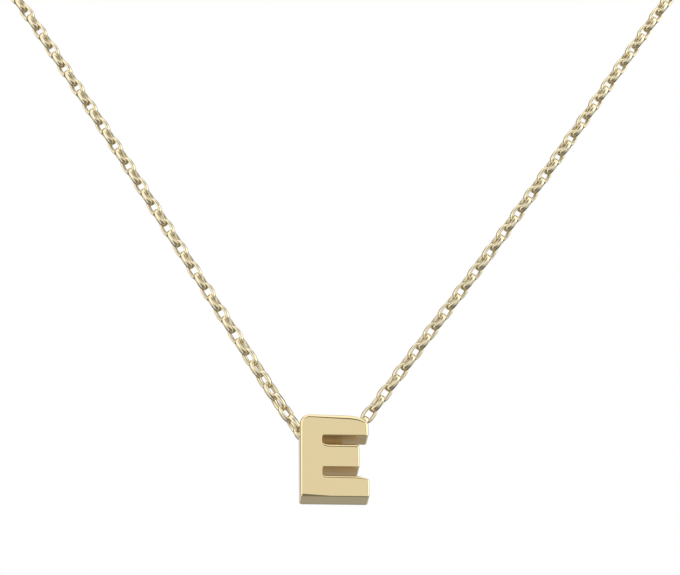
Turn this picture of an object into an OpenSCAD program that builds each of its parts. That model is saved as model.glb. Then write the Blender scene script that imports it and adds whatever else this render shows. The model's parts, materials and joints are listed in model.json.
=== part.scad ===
// Initial pendant: a block letter E on a fine cable chain, held up by the nape of a neck.
// The origin is the middle of the clasp at the nape, +Z is up and the letter faces -Y.

/* [Letter] */
// Width of the letter
letter_w = 7.2; // [5:0.05:12]
// Thickness of the letter, front to back
letter_t = 2.9; // [2:0.05:4]
// Width of the upright stem
stem_w = 2.3; // [1.5:0.05:3.5]
// Height of the top arm
top_arm_h = 2.45; // [1.8:0.05:3]
// Height of the slot under the top arm
upper_slot_h = 0.8; // [0.6:0.01:2]
// Height of the middle arm
middle_arm_h = 2.7; // [1.6:0.05:3.5]
// Height of the slot under the middle arm
lower_slot_h = 0.8; // [0.6:0.01:2]
// Height of the bottom arm
bottom_arm_h = 2.45; // [1.6:0.05:3.5]
// How much shorter the middle arm is than the other two
middle_arm_cut = 0.98; // [0.4:0.02:2]
// Corner radius at the top of the letter
top_corner_r = 0.7; // [0.3:0.05:0.9]
// Corner radius at the foot of the letter
foot_corner_r = 0.3; // [0.2:0.05:0.8]
// Corner radius at the open ends of the slots
arm_corner_r = 0.3; // [0.1:0.05:0.5]
// Fillet where a slot meets the stem
slot_fillet_r = 0.2; // [0.05:0.05:0.3]
// Polished round along the front and back edges
edge_r = 0.3; // [0.1:0.05:0.5]

/* [Bail] */
// Length of the tube bail soldered on the back
bail_len = 3.4; // [2:0.1:3.8]
// Wall of the bail
bail_wall = 0.3; // [0.2:0.05:0.5]
// Clearance all round between the chain and the bail's bore
bail_clearance = 0.2; // [0.15:0.05:0.4]
// How deep the bail sinks into its solder on the letter's back
bail_solder = 0.1; // [0.1:0.05:0.25]
// Distance from the letter's left side to the middle of the bail
bail_x = 3.1; // [2.2:0.05:4.5]
// Distance from the letter's top down to the bail's axis
bail_drop = 1.66; // [1.2:0.01:3]

/* [Chain] */
// Width of the cable chain over its links
chain_w = 1.4; // [1:0.05:1.6]

/* [Clasp] */
// Diameter of the clasp ring, at the middle of its wire
ring_d = 4.8; // [4:0.1:7]
// Wire of the clasp ring
ring_wire = 1.1; // [0.8:0.05:1.6]
// Diameter of the eye at each end of the clasp, at the middle of its wire
eye_d = 1.5; // [1.3:0.05:2.5]
// Wire of the eyes
eye_wire = 0.6; // [0.4:0.05:0.8]
// Gap between an eye and the end of the chain
end_gap = 0.15; // [0.1:0.05:0.3]

/* [Hidden] */
$fn = 64;
eps = 0.01;

// Letter, from the foot up
upper_arm_z = bottom_arm_h + lower_slot_h;
top_arm_z = upper_arm_z + middle_arm_h + upper_slot_h;
letter_h = top_arm_z + top_arm_h;
middle_arm_end = letter_w - middle_arm_cut;

// Bail, whose axis is the line that the letter turns about
bore_r = chain_w / 2 + bail_clearance;
bail_r = bore_r + bail_wall;
bail_back = bail_r - bail_solder;

// Clasp, whose eyes share their wire with the ring
eye_x = ring_d / 2 + ring_wire / 2 + eye_d / 2 - eye_wire / 4;
chain_end_x = eye_x + eye_d / 2 + eye_wire / 2 + end_gap;

// The chain's route: down the left of the neck, along the bail's axis, and up the right
pendant_at = [-2.5, -100, -122];
mouth_x = bail_len / 2;
ROUTE = [
    [-chain_end_x, 0, 0], [-8, -0.3, -0.1], [-21, -3.2, -1.1], [-37, -10, -3.5], [-50.5, -20.5, -7.5],
    [-58.5, -34, -13], [-61.5, -47, -19.5], [-60.5, -59.5, -26.5], [-57, -71, -34], [-52.3, -80, -42],
    [-47, -87, -50.5], [-41.7, -91.5, -59], [-36.8, -94, -67.2], [-32.7, -95.4, -74.2],
    [-25.1, -97.6, -87.5], [-17.9, -99, -100.2], [-11.2, -99.8, -111.7], [-7.8, -100, -117.4],
    [-6.3, -100, -119.7], [-5.3, -100, -121.3], [-4.85, -100, -121.8],
    pendant_at - [mouth_x, 0, 0], pendant_at, pendant_at + [mouth_x, 0, 0],
    [-0.15, -100, -121.8], [0.25, -100, -121.3], [1.5, -100, -119.6], [3.15, -100, -117.3],
    [7.3, -99.8, -111.4], [15.8, -98.9, -99.2], [24.4, -97.4, -86.2], [33.3, -95.1, -72.3],
    [38, -93.5, -64.9], [42.7, -90.9, -57.3], [47.8, -86.3, -49.3], [53, -79.3, -41.2],
    [57.5, -70.3, -33.5], [60.8, -59, -26], [61.8, -46.5, -19], [58.8, -33.5, -12.8],
    [50.5, -20.3, -7.4], [37, -10, -3.5], [21, -3.2, -1.1], [8, -0.3, -0.1], [chain_end_x, 0, 0]];
// Sides of the chain's tube, distance between its rings, and a direction it never runs along
tube_sides = 8;
ring_step = 7;
tube_up = [0, -1, 1];

gold = [0.87, 0.8, 0.58];

// Point at share t between route points b and c, on a curve through a, b, c and d
function curve_point(a, b, c, d, t) =
    0.5 * (2 * b + (c - a) * t + (2 * a - 5 * b + 4 * c - d) * t * t
        + (3 * b - 3 * c + d - a) * t * t * t);

// Direction of the same curve
function curve_way(a, b, c, d, t) =
    0.5 * ((c - a) + 2 * (2 * a - 5 * b + 4 * c - d) * t + 3 * (3 * b - 3 * c + d - a) * t * t);

function unit(v) = v / norm(v);

// Rings of a tube along a route: each is its centre and its direction
function tube_rings(route) =
    let (last = len(route) - 1)
    concat(
        [for (i = [0 : last - 1])
            let (a = i == 0 ? 2 * route[0] - route[1] : route[i - 1],
                 b = route[i],
                 c = route[i + 1],
                 d = i == last - 1 ? 2 * route[last] - route[last - 1] : route[i + 2],
                 parts = max(1, round(norm(c - b) / ring_step)))
            for (k = [0 : parts - 1])
                [curve_point(a, b, c, d, k / parts), unit(curve_way(a, b, c, d, k / parts))]],
        [[route[last], unit(route[last] - route[last - 1])]]);

// Round tube swept along a route, closed at both ends
module tube_along(route, radius) {
    rings = tube_rings(route);
    n = len(rings);
    points = [for (ring = rings)
        let (side = unit(cross(ring[1], tube_up)), up = cross(side, ring[1]))
        for (k = [0 : tube_sides - 1])
            let (angle = 360 * (k + 0.5) / tube_sides)
            ring[0] + radius * (side * cos(angle) + up * sin(angle))];
    walls = [for (i = [0 : n - 2], k = [0 : tube_sides - 1])
        let (next = (k + 1) % tube_sides)
        [i * tube_sides + k, i * tube_sides + next,
         (i + 1) * tube_sides + next, (i + 1) * tube_sides + k]];
    start = [for (k = [tube_sides - 1 : -1 : 0]) k];
    end = [for (k = [0 : tube_sides - 1]) (n - 1) * tube_sides + k];
    polyhedron(points, concat([start], walls, [end]), convexity = 10);
}

// Waste that rounds off a square corner at the origin, which fills the quarter towards +X +Y
module corner_waste(r) {
    difference() {
        translate([-eps, -eps])
            square(r + eps);
        translate([r, r])
            circle(r);
    }
}

// Rectangle from the origin whose corners are all rounded
module rounded_rectangle(w, h, r) {
    difference() {
        square([w, h]);
        for (x = [0, 1], y = [0, 1])
            translate([x * w, y * h])
                mirror([x, 0])
                    mirror([0, y])
                        corner_waste(r);
    }
}

// Slot of the letter's front outline, from the stem out past the arms
module slot_outline(z, h) {
    difference() {
        translate([stem_w, z])
            square([letter_w, h]);
        for (side = [0, 1])
            translate([stem_w, z + side * h])
                mirror([0, side])
                    corner_waste(slot_fillet_r);
    }
}

// The letter's front outline, with its left foot at the origin
module letter_outline() {
    difference() {
        square([letter_w, letter_h]);
        slot_outline(bottom_arm_h, lower_slot_h);
        slot_outline(upper_arm_z + middle_arm_h, upper_slot_h);
        translate([middle_arm_end, bottom_arm_h])
            square([letter_w, top_arm_z - bottom_arm_h]);
        corner_waste(foot_corner_r);
        translate([letter_w, 0])
            mirror([1, 0])
                corner_waste(foot_corner_r);
        for (side = [0, 1])
            translate([side * letter_w, letter_h])
                mirror([side, 0])
                    mirror([0, 1])
                        corner_waste(top_corner_r);
        // Open ends of the slots: [x, z, 1 if the metal lies below]
        for (end = [[letter_w, top_arm_z, 0], [middle_arm_end, upper_arm_z + middle_arm_h, 1],
                    [middle_arm_end, upper_arm_z, 0], [letter_w, bottom_arm_h, 1]])
            translate([end[0], end[1]])
                mirror([1, 0])
                    mirror([0, end[2]])
                        corner_waste(arm_corner_r);
    }
}

// The block: the front outline, rounded off as seen from above and from the side
module letter_block() {
    intersection() {
        translate([0, letter_t, 0])
            rotate([90, 0, 0])
                linear_extrude(letter_t)
                    letter_outline();
        linear_extrude(letter_h)
            rounded_rectangle(letter_w, letter_t, edge_r);
        rotate([90, 0, 90])
            linear_extrude(letter_w)
                rounded_rectangle(letter_t, letter_h, edge_r);
    }
}

// Tube bail on a saddle of solder, along X through the origin, with the letter's back in front of it
module bail() {
    rotate([0, 90, 0])
        cylinder(r = bail_r, h = bail_len, center = true);
    translate([-bail_len / 2, -bail_back - eps, -bore_r])
        cube([bail_len, bail_back, 2 * bore_r]);
}

// Letter and bail, one piece of metal
module letter() {
    color(gold)
        translate(pendant_at)
            difference() {
                union() {
                    translate([-bail_x, -bail_back - letter_t, bail_drop - letter_h])
                        letter_block();
                    bail();
                }
                rotate([0, 90, 0])
                    cylinder(r = bore_r, h = bail_len + 2 * eps, center = true);
            }
}

// The chain's links fill this tube
module cable_chain() {
    color(gold)
        tube_along(ROUTE, chain_w / 2);
}

// Upright ring of round wire in the plane of the nape
module wire_ring(d, wire) {
    rotate([90, 0, 0])
        rotate_extrude()
            translate([d / 2, 0])
                circle(d = wire);
}

// Ring clasp with an eye at each end, one plain piece
module clasp() {
    color(gold) {
        wire_ring(ring_d, ring_wire);
        for (side = [-1, 1])
            translate([side * eye_x, 0, 0])
                wire_ring(eye_d, eye_wire);
    }
}

letter();
cable_chain();
clasp();
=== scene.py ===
# Initial pendant: a gold block letter E, threaded by a bail on its back on a fine cable chain.
import json
import math

import bmesh
import bpy
from mathutils import Matrix, Vector


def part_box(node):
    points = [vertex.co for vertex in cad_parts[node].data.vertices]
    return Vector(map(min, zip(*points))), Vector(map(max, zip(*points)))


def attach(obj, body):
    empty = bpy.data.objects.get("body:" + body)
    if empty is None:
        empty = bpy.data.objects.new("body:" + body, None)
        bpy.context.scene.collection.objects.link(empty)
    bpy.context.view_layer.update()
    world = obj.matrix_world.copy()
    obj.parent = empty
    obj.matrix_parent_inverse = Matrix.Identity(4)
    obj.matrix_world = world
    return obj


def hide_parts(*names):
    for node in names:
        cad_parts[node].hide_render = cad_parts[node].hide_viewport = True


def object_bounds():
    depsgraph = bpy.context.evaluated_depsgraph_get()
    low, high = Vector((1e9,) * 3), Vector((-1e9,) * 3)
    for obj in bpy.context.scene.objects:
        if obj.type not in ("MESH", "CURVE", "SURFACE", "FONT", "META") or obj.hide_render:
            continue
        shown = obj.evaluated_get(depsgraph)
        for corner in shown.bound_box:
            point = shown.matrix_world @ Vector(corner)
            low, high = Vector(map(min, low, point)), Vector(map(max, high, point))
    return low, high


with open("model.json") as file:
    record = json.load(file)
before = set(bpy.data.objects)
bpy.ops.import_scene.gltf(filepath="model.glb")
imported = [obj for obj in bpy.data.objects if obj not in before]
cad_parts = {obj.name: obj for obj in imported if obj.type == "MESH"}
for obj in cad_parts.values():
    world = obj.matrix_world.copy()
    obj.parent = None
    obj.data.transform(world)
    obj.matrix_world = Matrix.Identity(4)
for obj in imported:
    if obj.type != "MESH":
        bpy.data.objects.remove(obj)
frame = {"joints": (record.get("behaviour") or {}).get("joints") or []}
cad_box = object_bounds()

# Camera
# It stands about 320 mm from the bail, lower than the letter and a little to its left, and looks up
# at it through a long lens, as the photograph was taken. The nape is above the picture.
MM = 0.001
PHOTO_WIDTH = 680
SENSOR_WIDTH = 36.0
FOCAL_PIXELS = 3024
BAIL_AXIS = Vector(frame["joints"][0]["pos_m"])
CAMERA_FROM_BAIL = Vector((-21.6, -301.1, -107.4)) * MM
CAMERA_AZIMUTH = math.radians(-4.4)
CAMERA_TILT = math.radians(22.489)
CAMERA_ROLL = math.radians(-0.7)

look = Vector((
    -math.sin(CAMERA_AZIMUTH) * math.cos(CAMERA_TILT),
    math.cos(CAMERA_AZIMUTH) * math.cos(CAMERA_TILT),
    math.sin(CAMERA_TILT),
))
level_right = look.cross(Vector((0, 0, 1))).normalized()
level_up = level_right.cross(look)
camera_right = level_right * math.cos(CAMERA_ROLL) + level_up * math.sin(CAMERA_ROLL)
camera_up = level_up * math.cos(CAMERA_ROLL) - level_right * math.sin(CAMERA_ROLL)

lens = bpy.data.cameras.new("camera")
lens.sensor_width = SENSOR_WIDTH
lens.lens = FOCAL_PIXELS / PHOTO_WIDTH * SENSOR_WIDTH
lens.clip_start = 0.01
lens.clip_end = 20.0
camera = bpy.data.objects.new("camera", lens)
camera.matrix_world = Matrix.Translation(BAIL_AXIS + CAMERA_FROM_BAIL) @ Matrix(
    (camera_right, camera_up, -look)
).transposed().to_4x4()
bpy.context.scene.collection.objects.link(camera)
bpy.context.scene.camera = camera


# Studio
# Plain soft light: a bright room all round, with soft-edged panels in it that the gold mirrors, and
# a pale matt floor well below the camera. The white behind the necklace is the room itself.
FLOOR_UNDER_LETTER = 0.24
FLOOR_RADIUS = 3.0
FLOOR_SIDES = 96
FLOOR_GREY = 0.8
# Brightness of the room as the camera sees it, and as the gold does between the panels
BACKDROP = 1.0
ROOM = 1.0
# Panels, a later one over an earlier one:
# azimuth from the front, elevation, half-angle and width of the soft edge in degrees, brightness
PANELS = [
    (180, 40, 50, 24, 0.68),
    (0, -90, 86, 12, 0.41),
    (120, -34, 26, 14, 0.12),
    (-120, -34, 26, 14, 0.12),
    (76, -4, 28, 12, 0.75),
    (-78, -4, 30, 12, 1.15),
    (125, 30, 27, 14, 0.2),
    (-125, 30, 27, 14, 0.2),
    (180, -2, 14, 14, 0.35),
    (0, -50, 34, 20, 0.2),
    (-84, -36, 26, 12, 0.9),
    (0, 82, 30, 8, 1.25),
    (-4, 44, 13, 6, 0.4),
    (14, 43, 13, 6, 0.16),
    (27, 33, 7, 5, 0.25),
    (0, 14, 13, 8, 0.86),
    (50, 6, 11, 8, 1.05),
    (31, 19, 9, 6, 0.6),
    (-46, 7, 11, 8, 1.35),
    (-25, 18, 8, 6, 0.62),
    (-106, -5, 10, 6, 0.4),
    (105, -6, 10, 6, 0.4),
    (-75, 20, 30, 12, 1.25),
    (88, 26, 26, 10, 1.7),
]


def place_node(tree, kind, **settings):
    node = tree.nodes.new(kind)
    for name, value in settings.items():
        setattr(node, name, value)
    return node


def new_object(name, data):
    piece = bpy.data.objects.new(name, data)
    bpy.context.scene.collection.objects.link(piece)
    return piece


def light_the_room():
    """The room's light, by the direction that a ray leaves in. The camera sees it plain white."""
    world = bpy.data.worlds.new("studio")
    world.use_nodes = True
    bpy.context.scene.world = world
    tree = world.node_tree
    tree.nodes.clear()
    link = tree.links.new
    way = place_node(tree, "ShaderNodeTexCoord").outputs["Generated"]
    brightness = place_node(tree, "ShaderNodeValue").outputs[0]
    brightness.default_value = ROOM
    for azimuth, elevation, half_angle, edge, level in PANELS:
        across = math.radians(azimuth)
        lift = math.radians(elevation)
        facing = place_node(tree, "ShaderNodeVectorMath", operation="DOT_PRODUCT")
        facing.inputs[1].default_value = (
            math.sin(across) * math.cos(lift),
            -math.cos(across) * math.cos(lift),
            math.sin(lift),
        )
        link(way, facing.inputs[0])
        angle = place_node(tree, "ShaderNodeMath", operation="ARCCOSINE")
        link(facing.outputs["Value"], angle.inputs[0])
        mask = place_node(tree, "ShaderNodeMapRange", interpolation_type="SMOOTHSTEP")
        mask.inputs["From Min"].default_value = math.radians(half_angle + edge / 2)
        mask.inputs["From Max"].default_value = math.radians(half_angle - edge / 2)
        link(angle.outputs[0], mask.inputs["Value"])
        mix = place_node(tree, "ShaderNodeMix", data_type="FLOAT")
        link(mask.outputs["Result"], mix.inputs["Factor"])
        link(brightness, mix.inputs["A"])
        mix.inputs["B"].default_value = level
        brightness = mix.outputs["Result"]
    seen = place_node(tree, "ShaderNodeLightPath").outputs["Is Camera Ray"]
    backdrop = place_node(tree, "ShaderNodeMix", data_type="FLOAT")
    link(seen, backdrop.inputs["Factor"])
    link(brightness, backdrop.inputs["A"])
    backdrop.inputs["B"].default_value = BACKDROP
    background = place_node(tree, "ShaderNodeBackground")
    background.inputs["Color"].default_value = (1, 1, 1, 1)
    link(backdrop.outputs["Result"], background.inputs["Strength"])
    output = place_node(tree, "ShaderNodeOutputWorld")
    link(background.outputs[0], output.inputs["Surface"])


def lay_the_floor():
    """A round matt floor, which the gold doesn't mirror."""
    sheet = bmesh.new()
    bmesh.ops.create_circle(sheet, cap_ends=True, segments=FLOOR_SIDES, radius=FLOOR_RADIUS)
    height = cad_box[0].z - FLOOR_UNDER_LETTER
    bmesh.ops.translate(sheet, verts=sheet.verts, vec=(0, 0, height))
    data = bpy.data.meshes.new("floor")
    sheet.to_mesh(data)
    sheet.free()
    floor = new_object("floor", data)
    paint = bpy.data.materials.new("matt floor")
    paint.use_nodes = True
    shader = paint.node_tree.nodes["Principled BSDF"]
    shader.inputs["Base Color"].default_value = (FLOOR_GREY, FLOOR_GREY, FLOOR_GREY, 1)
    shader.inputs["Roughness"].default_value = 0.9
    shader.inputs["Specular IOR Level"].default_value = 0.1
    data.materials.append(paint)
    floor.visible_glossy = False


light_the_room()
lay_the_floor()
bpy.context.scene.view_settings.view_transform = "Standard"


# Letter
# The real piece is a solid block of pale yellow gold in the shape of a capital E, about 9 mm high and
# 3 mm thick. It is cast, its slots are filed, its edges are rounded off on the buff, most of all along
# the top, and it is polished to a soft mirror. A short tube soldered across its back is its bail.
LETTER_THICKNESS = 2.9 * MM
STEM = 2.3 * MM
BOTTOM_ARM = 2.45 * MM
LOWER_SLOT = 0.8 * MM
MIDDLE_ARM = 2.7 * MM
UPPER_SLOT = 0.8 * MM
MIDDLE_ARM_CUT = 0.98 * MM
# Where along the foot its front rim has narrowed to its least
FOOT_RIM_END = 3.1 * MM
# The back edges' round, and how many times deeper than high it is under the foot
BACK_RIM = 0.13 * MM
FOOT_DROOP = 8
# The smallest round that a corner of the face's flat keeps
LEAST_ROUND = 0.06 * MM
# Narrow band beside each rim that keeps the walls and the back looking flat
HOLDING_EDGE = 0.03 * MM
# The same on the front: how far in it reaches, in sizes of its rim
FRONT_HOLD_IN = 1.06
# Steps round a corner, over a rim and along a straight edge
ARC_STEPS = 9
RIM_STEPS = 10
EDGE_STEP = 0.5 * MM
# How far the rounding reaches at a slot's two ends, and at its long edges
SLOT_ROUND = 0.3 * MM
SLOT_EDGE = 0.12 * MM

letter_low, letter_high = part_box("letter")
letter_width = letter_high.x - letter_low.x
letter_height = letter_high.z - letter_low.z
front_y = letter_low.y
back_y = letter_low.y + LETTER_THICKNESS


def letter_corners():
    """Corners anticlockwise from the left foot. Each has its x and z, how far its rounding reaches along
    the edge before it and the one after it, and the front rim's size on those two edges, in mm."""
    width = letter_width / MM
    height = letter_height / MM
    stem = STEM / MM
    bottom_arm = BOTTOM_ARM / MM
    upper_arm = bottom_arm + LOWER_SLOT / MM
    upper_slot = upper_arm + MIDDLE_ARM / MM
    top_arm = upper_slot + UPPER_SLOT / MM
    middle_end = width - MIDDLE_ARM_CUT / MM
    return [
        (0, 0, 0.30, 0.30, 0.30, 0.40),
        (FOOT_RIM_END / MM, 0, 0, 0, 0.16, 0.16),
        (width, 0, 0.28, 0.28, 0.16, 0.26),
        (width, bottom_arm, 0.60, 2.00, 0.28, 0.42),
        (stem, bottom_arm, 0.30, 0.12, 0.38, 0.10),
        (stem, upper_arm, 0.16, 0.16, 0.10, 0.14),
        (middle_end, upper_arm, 0.25, 0.30, 0.15, 0.28),
        (middle_end, upper_slot, 0.30, 0.50, 0.30, 0.50),
        (stem, upper_slot, 0.60, 0.20, 0.48, 0.10),
        (stem, top_arm, 0.20, 0.20, 0.10, 0.14),
        (width, top_arm, 0.25, 0.30, 0.15, 0.40),
        (width, height, 1.10, 2.60, 0.46, 0.67),
        (0, height, 1.05, 1.05, 0.48, 0.40),
    ]


def walk_round(corners):
    """Points round the letter: each is its place on the outline, the way in to the flat of the face
    there, and the depth of the rim between them."""
    points = []
    for i, (x, z, reach_before, reach_after, rim_before, rim_after) in enumerate(corners):
        following = corners[(i + 1) % len(corners)]
        here = Vector((x, z))
        there = Vector(following[:2])
        before = (here - Vector(corners[i - 1][:2])).normalized()
        after = (there - here).normalized()
        inward_before = Vector((-before.y, before.x))
        inward_after = Vector((-after.y, after.x))
        bend = before.x * after.y - before.y * after.x
        if abs(bend) < 0.5:
            # The edge goes straight on here, and only its rim changes
            points.append((here, inward_after * rim_after, rim_after))
        else:
            side = 1 if bend > 0 else -1
            inner = here + inward_before * rim_before + inward_after * rim_after
            inner_before = max(reach_before - side * rim_after, LEAST_ROUND / MM)
            inner_after = max(reach_after - side * rim_before, LEAST_ROUND / MM)
            for k in range(ARC_STEPS + 1):
                turn = math.radians(90 * k / ARC_STEPS)
                short = 1 - math.sin(turn)
                past = 1 - math.cos(turn)
                place = here - before * reach_before * short + after * reach_after * past
                inside = inner - before * inner_before * short + after * inner_after * past
                depth = rim_before + (rim_after - rim_before) * k / ARC_STEPS
                points.append((place, inside - place, depth))
        start = points[-1][0]
        end = there - after * following[2]
        parts = max(1, round((end - start).length / (EDGE_STEP / MM)))
        for k in range(1, parts):
            rim = rim_after + (following[4] - rim_after) * k / parts
            points.append((start.lerp(end, k / parts), inward_after * rim, rim))
    return points


def in_slot(point):
    """Whether a point of the outline is on a wall of one of the two slots."""
    place, way_in, depth = point
    top_arm = (BOTTOM_ARM + LOWER_SLOT + MIDDLE_ARM + UPPER_SLOT + SLOT_EDGE) / MM
    beside = STEM / MM < place.x + depth < (letter_width - SLOT_ROUND) / MM
    level = abs(way_in.y) > abs(way_in.x) or place.x < (STEM + SLOT_ROUND) / MM
    return beside and level and (BOTTOM_ARM - SLOT_EDGE) / MM < place.y < top_arm


def letter_block():
    """The block as rings of its outline, from the back face round both rims to the front face."""
    mesh = bmesh.new()
    corners = letter_corners()
    front_walk = walk_round(corners)
    back_walk = []
    for place, way_in, depth in walk_round([(*row[:4], BACK_RIM / MM, BACK_RIM / MM) for row in corners]):
        under = max(way_in.y / depth, 0) ** 2 if place.y < BOTTOM_ARM / MM / 2 else 0
        back_walk.append((place, way_in, depth * (1 + (FOOT_DROOP - 1) * under)))
    rings = []

    def ring(walk, share_in, depth_of):
        rings.append([
            mesh.verts.new((
                letter_low.x + (place.x + way_in.x * share_in) * MM,
                depth_of(depth * MM),
                letter_low.z + (place.y + way_in.y * share_in) * MM,
            ))
            for place, way_in, depth in walk
        ])

    ring(back_walk, 1 + HOLDING_EDGE / BACK_RIM, lambda depth: back_y)
    for k in range(RIM_STEPS + 1):
        turn = math.radians(90 * k / RIM_STEPS)
        ring(back_walk, 1 - math.sin(turn), lambda depth: back_y - depth * (1 - math.cos(turn)))
    ring(back_walk, 0, lambda depth: back_y - depth - HOLDING_EDGE)
    wall = len(rings) - 1
    ring(front_walk, 0, lambda depth: front_y + depth + HOLDING_EDGE)
    for k in range(RIM_STEPS + 1):
        turn = math.radians(90 * k / RIM_STEPS)
        ring(front_walk, 1 - math.cos(turn), lambda depth: front_y + depth * (1 - math.sin(turn)))
    ring(front_walk, FRONT_HOLD_IN, lambda depth: front_y)
    count = len(front_walk)
    for level, (lower, upper) in enumerate(zip(rings, rings[1:])):
        for i in range(count):
            j = (i + 1) % count
            face = mesh.faces.new((lower[i], upper[i], upper[j], lower[j]))
            # Slot walls take the second material, whose darker brown colour is painted shade of the slots
            if level == wall and (in_slot(front_walk[i]) or in_slot(front_walk[j])):
                face.material_index = 1
    mesh.faces.new(rings[0])
    mesh.faces.new(list(reversed(rings[-1])))
    bmesh.ops.recalc_face_normals(mesh, faces=mesh.faces)
    return mesh


# Faces that meet at more than this show an edge
SHARP_FROM = math.radians(40)


def finish_mesh(name, mesh):
    """A bmesh as an object, smooth but for its sharp edges."""
    for face in mesh.faces:
        face.smooth = True
    data = bpy.data.meshes.new(name)
    mesh.to_mesh(data)
    mesh.free()
    data.set_sharp_from_angle(angle=SHARP_FROM)
    return new_object(name, data)


def solder_on(piece, part):
    """Unite a piece with a part that is soldered to it."""
    fuse = piece.modifiers.new(part.name, "BOOLEAN")
    fuse.operation = "UNION"
    fuse.solver = "EXACT"
    fuse.object = part
    view = bpy.context.evaluated_depsgraph_get()
    fused = bpy.data.meshes.new_from_object(piece.evaluated_get(view))
    piece.modifiers.remove(fuse)
    piece.data = fused
    bpy.data.objects.remove(part)


def band(mesh, here, there):
    """Faces between two rings of points, all the way round."""
    for i in range(len(here)):
        j = (i + 1) % len(here)
        mesh.faces.new((here[i], here[j], there[j], there[i]))


BAIL_LENGTH = 3.4 * MM
BAIL_RADIUS = 1.2 * MM
BAIL_BORE = 0.9 * MM
BAIL_LIP = 0.1 * MM
BAIL_SIDES = 48


def bail_tube():
    """The tube bail, bored through, with rounded lips."""
    mesh = bmesh.new()
    lip = []
    for degrees in (0, 30, 60, 90):
        turn = math.radians(degrees)
        lip.append((BAIL_LENGTH / 2 - BAIL_LIP + BAIL_LIP * math.sin(turn), math.cos(turn)))
    outside = [(x, BAIL_RADIUS - BAIL_LIP + BAIL_LIP * out) for x, out in lip]
    inside = [(x, BAIL_BORE + BAIL_LIP - BAIL_LIP * out) for x, out in reversed(lip)]
    right = outside + inside
    left = [(-x, r) for x, r in reversed(right)]
    profile = left[len(inside):] + right + left[:len(inside)]
    rings = [[mesh.verts.new((
        BAIL_AXIS.x + x,
        BAIL_AXIS.y + r * math.cos(math.tau * k / BAIL_SIDES),
        BAIL_AXIS.z + r * math.sin(math.tau * k / BAIL_SIDES),
    )) for x, r in profile] for k in range(BAIL_SIDES)]
    for k in range(BAIL_SIDES):
        band(mesh, rings[k], rings[(k + 1) % BAIL_SIDES])
    bmesh.ops.recalc_face_normals(mesh, faces=mesh.faces)
    return mesh


# How deep the solder sinks into the letter's back, half its height there, and how far it climbs round
# the tube, in degrees from the side that faces the letter
SOLDER_DEPTH = 0.04 * MM
SOLDER_FLARE = 1.35 * MM
SOLDER_CLIMB = 52
SOLDER_STEPS = 8
# Its two ends: where they start to narrow, as a share of its half-length, and to what share of its height
SOLDER_SHOULDER = 0.92
SOLDER_END = 0.9


def bail_solder():
    """The saddle of solder that flares from the tube onto the letter's back."""
    mesh = bmesh.new()
    behind = BAIL_AXIS.y - back_y
    inner = (BAIL_RADIUS + BAIL_BORE) / 2
    climb = math.radians(SOLDER_CLIMB)
    section = [(-behind - SOLDER_DEPTH, SOLDER_FLARE)]
    for k in range(SOLDER_STEPS + 1):
        share = k / SOLDER_STEPS
        narrowing = (SOLDER_FLARE - inner * math.sin(climb)) * math.sin(math.radians(90 * share))
        section.append((-behind + (behind - inner * math.cos(climb)) * share, SOLDER_FLARE - narrowing))
    for k in range(1, SOLDER_STEPS):
        turn = math.radians(SOLDER_CLIMB * (1 - k / SOLDER_STEPS))
        section.append((-inner * math.cos(turn), inner * math.sin(turn)))
    full = section + [(-inner, 0)] + [(y, -z) for y, z in reversed(section)]
    half_length = BAIL_LENGTH / 2 - 2 * BAIL_LIP
    rings = []
    for share, size in ((-1, SOLDER_END), (-SOLDER_SHOULDER, 1), (SOLDER_SHOULDER, 1), (1, SOLDER_END)):
        rings.append([mesh.verts.new((
            BAIL_AXIS.x + share * half_length,
            BAIL_AXIS.y + y,
            BAIL_AXIS.z + z * size,
        )) for y, z in full])
    for here, there in zip(rings, rings[1:]):
        band(mesh, here, there)
    mesh.faces.new(rings[0])
    mesh.faces.new(list(reversed(rings[-1])))
    bmesh.ops.recalc_face_normals(mesh, faces=mesh.faces)
    return mesh


# Hairlines: the way they run, how much finer they are across than along, and their depth beside the waves'
HAIRLINE_TURN = (0.3, 0.9, 0.5)
HAIRLINE_STRETCH = (1.0, 14.0, 14.0)
HAIRLINE_DEPTH = -0.02
# Levels of their noise between which a hairline fades in
HAIRLINE_FROM = 0.55
HAIRLINE_FULL = 0.75
# How many times finer the haze is than the waves
HAZE_FINENESS = 2.6
# The gold on the waves' crests, as a share of its colour in their hollows
CREST_TINT = (1.02, 0.96, 0.97)
ROUGHNESS_SPREAD = 0.06


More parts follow.
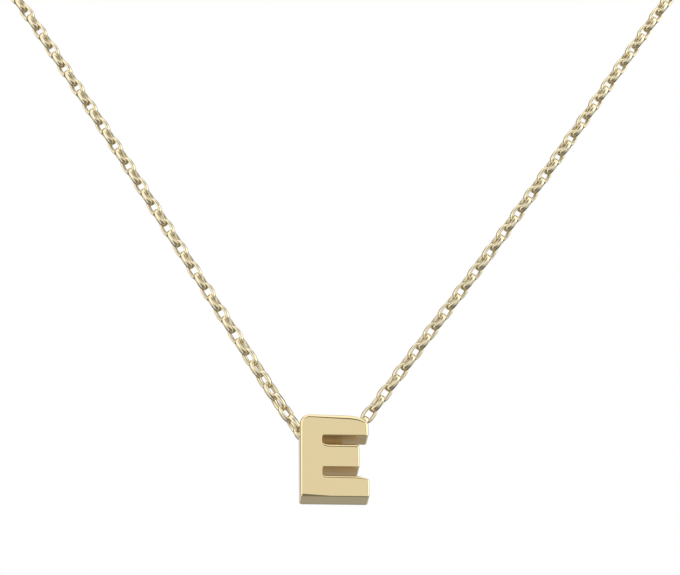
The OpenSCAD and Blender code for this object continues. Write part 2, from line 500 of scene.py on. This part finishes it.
def polish_group():
    """Shared finish of buffed gold: slow waves from the buff, and fine hairlines and haze."""
    tree = bpy.data.node_groups.new("buffed gold", "ShaderNodeTree")
    face = tree.interface
    for name in ("Wave size", "Hairline size"):
        face.new_socket(name, in_out="INPUT", socket_type="NodeSocketFloat")
    for name in ("Waves", "Hairlines", "Haze"):
        face.new_socket(name, in_out="OUTPUT", socket_type="NodeSocketFloat")
    link = tree.links.new
    start = place_node(tree, "NodeGroupInput")
    end = place_node(tree, "NodeGroupOutput")
    place = place_node(tree, "ShaderNodeTexCoord").outputs["Object"]
    waves = place_node(tree, "ShaderNodeTexNoise")
    waves.inputs["Detail"].default_value = 1.0
    link(place, waves.inputs["Vector"])
    link(start.outputs["Wave size"], waves.inputs["Scale"])
    link(waves.outputs[0], end.inputs["Waves"])
    turned = place_node(tree, "ShaderNodeMapping")
    turned.inputs["Rotation"].default_value = HAIRLINE_TURN
    turned.inputs["Scale"].default_value = HAIRLINE_STRETCH
    link(place, turned.inputs["Vector"])
    lines = place_node(tree, "ShaderNodeTexNoise")
    lines.inputs["Detail"].default_value = 3.0
    link(turned.outputs[0], lines.inputs["Vector"])
    link(start.outputs["Hairline size"], lines.inputs["Scale"])
    thin = place_node(tree, "ShaderNodeMapRange", interpolation_type="SMOOTHSTEP")
    thin.inputs["From Min"].default_value = HAIRLINE_FROM
    thin.inputs["From Max"].default_value = HAIRLINE_FULL
    link(lines.outputs[0], thin.inputs["Value"])
    link(thin.outputs["Result"], end.inputs["Hairlines"])
    haze = place_node(tree, "ShaderNodeTexNoise")
    haze.inputs["Detail"].default_value = 4.0
    link(place, haze.inputs["Vector"])
    finer = place_node(tree, "ShaderNodeMath", operation="MULTIPLY")
    link(start.outputs["Wave size"], finer.inputs[0])
    finer.inputs[1].default_value = HAZE_FINENESS
    link(finer.outputs[0], haze.inputs["Scale"])
    link(haze.outputs[0], end.inputs["Haze"])
    return tree


BUFFED = polish_group()


def gold_material(name, colour, wave_size, hairline_size, bump, roughness):
    """Polished pale gold with the shared buffed finish at this piece's own scale."""
    material = bpy.data.materials.new(name)
    material.use_nodes = True
    tree = material.node_tree
    link = tree.links.new
    shader = tree.nodes["Principled BSDF"]
    shader.inputs["Metallic"].default_value = 1.0
    finish = place_node(tree, "ShaderNodeGroup", node_tree=BUFFED)
    finish.inputs["Wave size"].default_value = wave_size
    finish.inputs["Hairline size"].default_value = hairline_size
    tint = place_node(tree, "ShaderNodeMix", data_type="RGBA")
    link(finish.outputs["Waves"], tint.inputs["Factor"])
    tint.inputs["A"].default_value = colour
    tint.inputs["B"].default_value = (*(part * share for part, share in zip(colour, CREST_TINT)), 1)
    link(tint.outputs["Result"], shader.inputs["Base Color"])
    rough = place_node(tree, "ShaderNodeMapRange")
    rough.inputs["To Min"].default_value = roughness
    rough.inputs["To Max"].default_value = roughness + ROUGHNESS_SPREAD
    link(finish.outputs["Haze"], rough.inputs["Value"])
    link(rough.outputs["Result"], shader.inputs["Roughness"])
    height = place_node(tree, "ShaderNodeMath", operation="MULTIPLY_ADD")
    link(finish.outputs["Hairlines"], height.inputs[0])
    height.inputs[1].default_value = HAIRLINE_DEPTH
    link(finish.outputs["Waves"], height.inputs[2])
    relief = place_node(tree, "ShaderNodeBump")
    relief.inputs["Strength"].default_value = 1.0
    relief.inputs["Distance"].default_value = bump
    link(height.outputs[0], relief.inputs["Height"])
    link(relief.outputs[0], shader.inputs["Normal"])
    return material


FILED_ROUGHNESS = 0.42
FILED_BUMP = 0.006 * MM
# The two colours of the slot walls' file streaks, both browner and on average darker than the letter's
# gold: painted shade of the slots' recesses
FILED_SHADED_DARK = (0.76, 0.56, 0.29, 1)
FILED_SHADED_PALE = (0.97, 0.79, 0.45, 1)
# The file's strokes, drawn out along the slots
STROKE_STRETCH = (0.06, 1.0, 0.5)
STROKE_FINENESS = 4200


def filed_and_shaded_gold():
    """The slots' walls: dull and streaked along the file's strokes, with a darker, browner colour than the
    letter's gold that is painted shade of the recess.
    """
    material = bpy.data.materials.new("filed gold with painted shade")
    material.use_nodes = True
    tree = material.node_tree
    link = tree.links.new
    shader = tree.nodes["Principled BSDF"]
    shader.inputs["Metallic"].default_value = 1.0
    shader.inputs["Roughness"].default_value = FILED_ROUGHNESS
    place = place_node(tree, "ShaderNodeTexCoord").outputs["Object"]
    strokes = place_node(tree, "ShaderNodeMapping")
    strokes.inputs["Scale"].default_value = STROKE_STRETCH
    link(place, strokes.inputs["Vector"])
    streaks = place_node(tree, "ShaderNodeTexNoise")
    streaks.inputs["Scale"].default_value = STROKE_FINENESS
    streaks.inputs["Detail"].default_value = 2.0
    link(strokes.outputs[0], streaks.inputs["Vector"])
    tint = place_node(tree, "ShaderNodeMix", data_type="RGBA")
    link(streaks.outputs[0], tint.inputs["Factor"])
    tint.inputs["A"].default_value = FILED_SHADED_DARK
    tint.inputs["B"].default_value = FILED_SHADED_PALE
    link(tint.outputs["Result"], shader.inputs["Base Color"])
    relief = place_node(tree, "ShaderNodeBump")
    relief.inputs["Distance"].default_value = FILED_BUMP
    link(streaks.outputs[0], relief.inputs["Height"])
    link(relief.outputs[0], shader.inputs["Normal"])
    return material


LETTER_GOLD = (0.86, 0.735, 0.42, 1)

letter_gold = gold_material(
    "letter gold", LETTER_GOLD, wave_size=260, hairline_size=900, bump=0.004 * MM, roughness=0.07
)
letter = finish_mesh("letter", letter_block())
letter.data.materials.append(letter_gold)
# The second material, for the slot walls, is dull filed gold with painted shade
letter.data.materials.append(filed_and_shaded_gold())
for name, mesh in (("bail", bail_tube()), ("solder", bail_solder())):
    part = finish_mesh(name, mesh)
    part.data.materials.append(letter_gold)
    solder_on(letter, part)
letter.data.set_sharp_from_angle(angle=SHARP_FROM)
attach(letter, "pendant")
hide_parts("letter")


# Cable chain
# The real chain is some three hundred oval links of pale gold wire, each at a right angle to the next,
# bent round, closed and soldered by a machine. It runs from one eye of the clasp round the neck, down
# to the letter, through its bail and up again, and it is a whole loop 46 cm long with the clasp.
LINK_PITCH = 1.485 * MM
LINK_WIDTH = 1.42 * MM
# Wire, rolled a little flat: its thickness in the link's plane, and its breadth
WIRE = 0.38 * MM
WIRE_BREADTH = 0.62 * MM
# Play between the wires of two links
LINK_PLAY = 0.03 * MM
# Power of a link's oval: 2 is an ellipse, and more is fuller
FULLNESS = 2.6
LINK_SIDES = 14
WIRE_SIDES = 6
# How far the chain is rolled over at the letter, and how much further the links seen on edge are
ROLL_AT_LETTER = math.radians(24)
ROCK = math.radians(13)
# Share of the chain's length, on each side of its middle, that lies in front of the shoulders
FRONT_SHARE = 0.3
# Quarter twist of the chain, and how far before and after the bail it begins and ends
TWIST = math.radians(-90)
TWIST_BEFORE_BAIL = 22 * MM
TWIST_AFTER_BAIL = 13 * MM
# Most that a link is turned from its right place
UNEVENNESS = math.radians(4)
UNEVEN_SEED = 7
# Where the end links hook round the wire of the clasp's eyes
EYE_HOOK_X = 4.0 * MM
# The same chosen points as the chain's route in the part, in millimetres
ROUTE = [
    (-4.75, 0, 0), (-8, -0.3, -0.1), (-21, -3.2, -1.1), (-37, -10, -3.5), (-50.5, -20.5, -7.5),
    (-58.5, -34, -13), (-61.5, -47, -19.5), (-60.5, -59.5, -26.5), (-57, -71, -34),
    (-52.3, -80, -42), (-47, -87, -50.5), (-41.7, -91.5, -59), (-36.8, -94, -67.2),
    (-32.7, -95.4, -74.2), (-25.1, -97.6, -87.5), (-17.9, -99, -100.2), (-11.2, -99.8, -111.7),
    (-7.8, -100, -117.4), (-6.3, -100, -119.7), (-5.3, -100, -121.3), (-4.85, -100, -121.8),
    (-4.2, -100, -122), (-2.5, -100, -122), (-0.8, -100, -122), (-0.15, -100, -121.8),
    (0.25, -100, -121.3), (1.5, -100, -119.6), (3.15, -100, -117.3), (7.3, -99.8, -111.4),
    (15.8, -98.9, -99.2), (24.4, -97.4, -86.2), (33.3, -95.1, -72.3), (38, -93.5, -64.9),
    (42.7, -90.9, -57.3), (47.8, -86.3, -49.3), (53, -79.3, -41.2), (57.5, -70.3, -33.5),
    (60.8, -59, -26), (61.8, -46.5, -19), (58.8, -33.5, -12.8), (50.5, -20.3, -7.4),
    (37, -10, -3.5), (21, -3.2, -1.1), (8, -0.3, -0.1), (4.75, 0, 0),
]
CURVE_STEPS = 24
CHAIN_GOLD = (0.85, 0.77, 0.52, 1)


def smooth_route():
    """Points close together on the curve through the route, from one eye of the clasp to the other."""
    given = [Vector(point) * MM for point in ROUTE]
    padded = [2 * given[0] - given[1]] + given + [2 * given[-1] - given[-2]]
    points = [Vector((-EYE_HOOK_X, 0, 0))]
    for a, b, c, d in zip(padded, padded[1:], padded[2:], padded[3:]):
        for k in range(CURVE_STEPS):
            t = k / CURVE_STEPS
            points.append(0.5 * (
                2 * b + (c - a) * t + (2 * a - 5 * b + 4 * c - d) * t * t
                + (3 * b - 3 * c + d - a) * t * t * t
            ))
    return points + [given[-1], Vector((EYE_HOOK_X, 0, 0))]


def length_along(points):
    return sum((b - a).length for a, b in zip(points, points[1:]))


def route_curve(points):
    data = bpy.data.curves.new("chain route", "CURVE")
    data.dimensions = "3D"
    data.twist_mode = "Z_UP"
    spline = data.splines.new("POLY")
    spline.points.add(len(points) - 1)
    for target, point in zip(spline.points, points):
        target.co = (*point, 1)
    return new_object("cable_chain", data)


def reckoner(tree):
    """The function that places a Math node in a tree, on numbers or sockets."""
    def reckon(operation, a, b=None):
        node = place_node(tree, "ShaderNodeMath", operation=operation)
        for socket, value in zip(node.inputs, (a, b)):
            if isinstance(value, bpy.types.NodeSocket):
                tree.links.new(value, socket)
            elif value is not None:
                socket.default_value = value
        return node.outputs[0]

    return reckon


def one_link(tree, given, reckon):
    """One link: an oval a little fuller than an ellipse, swept by a flattened wire."""
    link = tree.links.new
    across = reckon("SUBTRACT", given["Link width"], given["Wire"])
    along = reckon("ADD", reckon("ADD", given["Pitch"], given["Wire"]), given["Play"])
    oval = place_node(tree, "GeometryNodeCurvePrimitiveCircle", mode="RADIUS")
    oval.inputs["Resolution"].default_value = LINK_SIDES
    corner = place_node(tree, "GeometryNodeInputIndex").outputs[0]
    around = reckon("MULTIPLY", reckon("ADD", corner, 0.5), math.tau / LINK_SIDES)

    def reach(side, length):
        fuller = reckon("POWER", reckon("ABSOLUTE", side), reckon("DIVIDE", 2.0, given["Fullness"]))
        return reckon("MULTIPLY", reckon("MULTIPLY", reckon("SIGN", side), fuller),
                      reckon("MULTIPLY", length, 0.5))

    spot = place_node(tree, "ShaderNodeCombineXYZ")
    link(reach(reckon("COSINE", around), across), spot.inputs[0])
    link(reach(reckon("SINE", around), along), spot.inputs[1])
    shaped = place_node(tree, "GeometryNodeSetPosition")
    link(oval.outputs["Curve"], shaped.inputs["Geometry"])
    link(spot.outputs[0], shaped.inputs["Position"])
    facing = place_node(tree, "GeometryNodeSetCurveNormal", mode="Z_UP")
    link(shaped.outputs[0], facing.inputs["Curve"])
    # The wire's section is one unit across its corners, and less across the flats at its two broad ends
    section = place_node(tree, "GeometryNodeCurvePrimitiveCircle", mode="RADIUS")
    section.inputs["Resolution"].default_value = WIRE_SIDES
    section.inputs["Radius"].default_value = 0.5
    flatness = place_node(tree, "ShaderNodeCombineXYZ")
    link(given["Wire"], flatness.inputs[0])
    link(reckon("DIVIDE", given["Wire breadth"], math.cos(math.pi / WIRE_SIDES)), flatness.inputs[1])
    flattened = place_node(tree, "GeometryNodeTransform")
    link(section.outputs[0], flattened.inputs["Geometry"])
    link(flatness.outputs[0], flattened.inputs["Scale"])
    sweep = place_node(tree, "GeometryNodeCurveToMesh")
    link(facing.outputs[0], sweep.inputs["Curve"])
    link(flattened.outputs[0], sweep.inputs["Profile Curve"])
    return sweep.outputs[0]


def link_places(tree, given, reckon):
    """The middle of each link's span, on equal steps along the route, with its direction and side."""
    link = tree.links.new
    joints = place_node(tree, "GeometryNodeResampleCurve", mode="COUNT")
    link(given["Geometry"], joints.inputs["Curve"])
    link(reckon("ADD", given["Links"], 1), joints.inputs["Count"])
    keep_side = place_node(tree, "GeometryNodeCaptureAttribute", domain="POINT")
    keep_side.capture_items.new("VECTOR", "Side")
    link(joints.outputs[0], keep_side.inputs["Geometry"])
    link(place_node(tree, "GeometryNodeInputNormal").outputs["Normal"], keep_side.inputs["Side"])
    spans = place_node(tree, "GeometryNodeCurveToMesh")
    link(keep_side.outputs["Geometry"], spans.inputs["Curve"])
    keep_span = place_node(tree, "GeometryNodeCaptureAttribute", domain="EDGE")
    keep_span.capture_items.new("VECTOR", "Span")
    ends = place_node(tree, "GeometryNodeInputMeshEdgeVertices")
    span = place_node(tree, "ShaderNodeVectorMath", operation="SUBTRACT")
    link(ends.outputs["Position 2"], span.inputs[0])
    link(ends.outputs["Position 1"], span.inputs[1])
    link(spans.outputs[0], keep_span.inputs["Geometry"])
    link(span.outputs[0], keep_span.inputs["Span"])
    middles = place_node(tree, "GeometryNodeMeshToPoints", mode="EDGES")
    link(keep_span.outputs["Geometry"], middles.inputs["Mesh"])
    return middles.outputs[0], keep_span.outputs["Span"], keep_side.outputs["Side"]


def link_turn(tree, given, reckon):
    """How far each link is turned about its span."""
    link = tree.links.new
    number = place_node(tree, "GeometryNodeInputIndex").outputs[0]
    even = reckon("SUBTRACT", 1.0, reckon("MODULO", number, 2.0))
    quarter = reckon("MULTIPLY", even, math.pi / 2)
    uneven = place_node(tree, "FunctionNodeRandomValue", data_type="FLOAT")
    link(reckon("MULTIPLY", given["Unevenness"], -1.0), uneven.inputs[2])
    link(given["Unevenness"], uneven.inputs[3])
    uneven.inputs["Seed"].default_value = UNEVEN_SEED
    share = reckon("DIVIDE", reckon("ADD", number, 0.5), given["Links"])
    from_middle = reckon("ABSOLUTE", reckon("SUBTRACT", share, 0.5))

    def eased(start, end):
        ramp = place_node(tree, "ShaderNodeMapRange", interpolation_type="SMOOTHSTEP")
        ramp.inputs["From Min"].default_value = start
        ramp.inputs["From Max"].default_value = end
        link(from_middle, ramp.inputs["Value"])
        return ramp.outputs["Result"]

    # The twist grows from the clasp to the left shoulder, lasts down the left front and ends at the bail
    left = place_node(tree, "ShaderNodeMapRange", interpolation_type="SMOOTHSTEP")
    link(share, left.inputs["Value"])
    link(given["Twist start"], left.inputs["From Min"])
    link(given["Twist end"], left.inputs["From Max"])
    link(given["Twist"], left.inputs["To Min"])
    left.inputs["To Max"].default_value = 0.0
    twisted = reckon("ADD", quarter, reckon("MULTIPLY", eased(0.5, FRONT_SHARE), left.outputs["Result"]))
    # The chain is rolled over more and more as it comes down the front, and most at the letter
    on_edge = reckon("MULTIPLY", reckon("SINE", twisted), reckon("SINE", twisted))
    lean = reckon("ADD", given["Roll"], reckon("MULTIPLY", on_edge, given["Rock"]))
    roll = reckon("MULTIPLY", eased(FRONT_SHARE, 0.0), lean)
    return reckon("ADD", reckon("ADD", twisted, uneven.outputs[1]), roll)


def link_tree():
    """Oval wire links along a curve, each hooked through the next and turned a quarter from it."""
    tree = bpy.data.node_groups.new("cable links", "GeometryNodeTree")
    tree.is_modifier = True
    face = tree.interface
    face.new_socket("Geometry", in_out="INPUT", socket_type="NodeSocketGeometry")
    for name in ("Link width", "Wire", "Wire breadth", "Fullness", "Play", "Rock", "Roll", "Twist",
                 "Twist start", "Twist end", "Unevenness", "Pitch"):
        face.new_socket(name, in_out="INPUT", socket_type="NodeSocketFloat")
    face.new_socket("Links", in_out="INPUT", socket_type="NodeSocketInt")
    face.new_socket("Material", in_out="INPUT", socket_type="NodeSocketMaterial")
    face.new_socket("Geometry", in_out="OUTPUT", socket_type="NodeSocketGeometry")
    link = tree.links.new
    given = place_node(tree, "NodeGroupInput").outputs
    reckon = reckoner(tree)
    shape = one_link(tree, given, reckon)
    middles, span, side = link_places(tree, given, reckon)
    aim = place_node(tree, "FunctionNodeAxesToRotation", primary_axis="Y", secondary_axis="Z")
    link(span, aim.inputs["Primary Axis"])
    link(side, aim.inputs["Secondary Axis"])
    turn = place_node(tree, "FunctionNodeAxisAngleToRotation")
    turn.inputs["Axis"].default_value = (0, 1, 0)
    link(link_turn(tree, given, reckon), turn.inputs["Angle"])
    turned = place_node(tree, "FunctionNodeRotateRotation", rotation_space="LOCAL")
    link(aim.outputs[0], turned.inputs["Rotation"])
    link(turn.outputs[0], turned.inputs["Rotate By"])
    hang = place_node(tree, "GeometryNodeInstanceOnPoints")
    link(middles, hang.inputs["Points"])
    link(shape, hang.inputs["Instance"])
    link(turned.outputs[0], hang.inputs["Rotation"])
    solid = place_node(tree, "GeometryNodeRealizeInstances")
    link(hang.outputs[0], solid.inputs[0])
    smooth = place_node(tree, "GeometryNodeSetShadeSmooth")
    link(solid.outputs[0], smooth.inputs["Geometry"])
    gold = place_node(tree, "GeometryNodeSetMaterial")
    link(smooth.outputs[0], gold.inputs["Geometry"])
    link(given["Material"], gold.inputs["Material"])
    out = place_node(tree, "NodeGroupOutput")
    link(gold.outputs[0], out.inputs["Geometry"])
    return tree


def set_inputs(modifier, **values):
    """Set a modifier's inputs by the identifiers of the sockets with these names."""
    sockets = {
        item.name: item.identifier
        for item in modifier.node_group.interface.items_tree
        if item.item_type == "SOCKET" and item.in_out == "INPUT"
    }
    for name, value in values.items():
        modifier[sockets[name.replace("_", " ")]] = value


def plain_mesh(piece):
    """A plain mesh object of what a piece's modifiers make, in place of the piece."""
    view = bpy.context.evaluated_depsgraph_get()
    data = bpy.data.meshes.new_from_object(piece.evaluated_get(view))
    name = piece.name
    bpy.data.objects.remove(piece)
    data.name = name
    return new_object(name, data)


route = smooth_route()
route_length = length_along(route)
# An odd number, so that the links at both ends stand alike
link_count = 2 * round((route_length / LINK_PITCH - 1) / 2) + 1
near_bail = min(range(len(route)), key=lambda i: (route[i] - BAIL_AXIS).length)
to_bail = length_along(route[:near_bail + 1])
strand = route_curve(route)
links = strand.modifiers.new("links", "NODES")
links.node_group = link_tree()
set_inputs(
    links,
    Link_width=LINK_WIDTH,
    Wire=WIRE,
    Wire_breadth=WIRE_BREADTH,
    Fullness=FULLNESS,
    Play=LINK_PLAY,
    Rock=ROCK,
    Roll=ROLL_AT_LETTER,
    Twist=TWIST,
    Twist_start=(to_bail - TWIST_BEFORE_BAIL) / route_length,
    Twist_end=(to_bail + TWIST_AFTER_BAIL) / route_length,
    Unevenness=UNEVENNESS,
    Pitch=route_length / link_count,
    Links=link_count,
    Material=gold_material(
        "chain gold", CHAIN_GOLD, wave_size=900, hairline_size=2500, bump=0.002 * MM, roughness=0.08
    ),
)
chain = plain_mesh(strand)
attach(chain, "chain")
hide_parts("cable_chain")


# Clasp
# The photograph doesn't show it. It is a plain ring of round gold wire at the nape, with an eye at
# each side that the chain's last link is closed through, all of it soldered into one piece.
RING = 4.8 * MM
RING_WIRE = 1.1 * MM
EYE = 1.5 * MM
EYE_WIRE = 0.6 * MM


def wire_ring(centre_x, diameter, wire, steps, sides):
    """A ring of round wire, upright in the plane of the nape."""
    mesh = bmesh.new()
    rings = []
    for i in range(steps):
        turn = math.tau * i / steps
        ring = []
        for k in range(sides):
            around = math.tau * k / sides
            reach = diameter / 2 + wire / 2 * math.cos(around)
            ring.append(mesh.verts.new((
                centre_x + reach * math.cos(turn),
                wire / 2 * math.sin(around),
                reach * math.sin(turn),
            )))
        rings.append(ring)
    for i in range(steps):
        band(mesh, rings[i], rings[(i + 1) % steps])
    bmesh.ops.recalc_face_normals(mesh, faces=mesh.faces)
    return mesh


eye_x = RING / 2 + RING_WIRE / 2 + EYE / 2 - EYE_WIRE / 4
clasp = finish_mesh("clasp", wire_ring(0, RING, RING_WIRE, steps=64, sides=20))
for side in (-1, 1):
    solder_on(clasp, finish_mesh("eye", wire_ring(side * eye_x, EYE, EYE_WIRE, steps=36, sides=16)))
clasp.data.materials.clear()
clasp.data.materials.append(gold_material(
    "clasp gold", CHAIN_GOLD, wave_size=500, hairline_size=1500, bump=0.003 * MM, roughness=0.08
))
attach(clasp, "chain")
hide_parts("clasp")
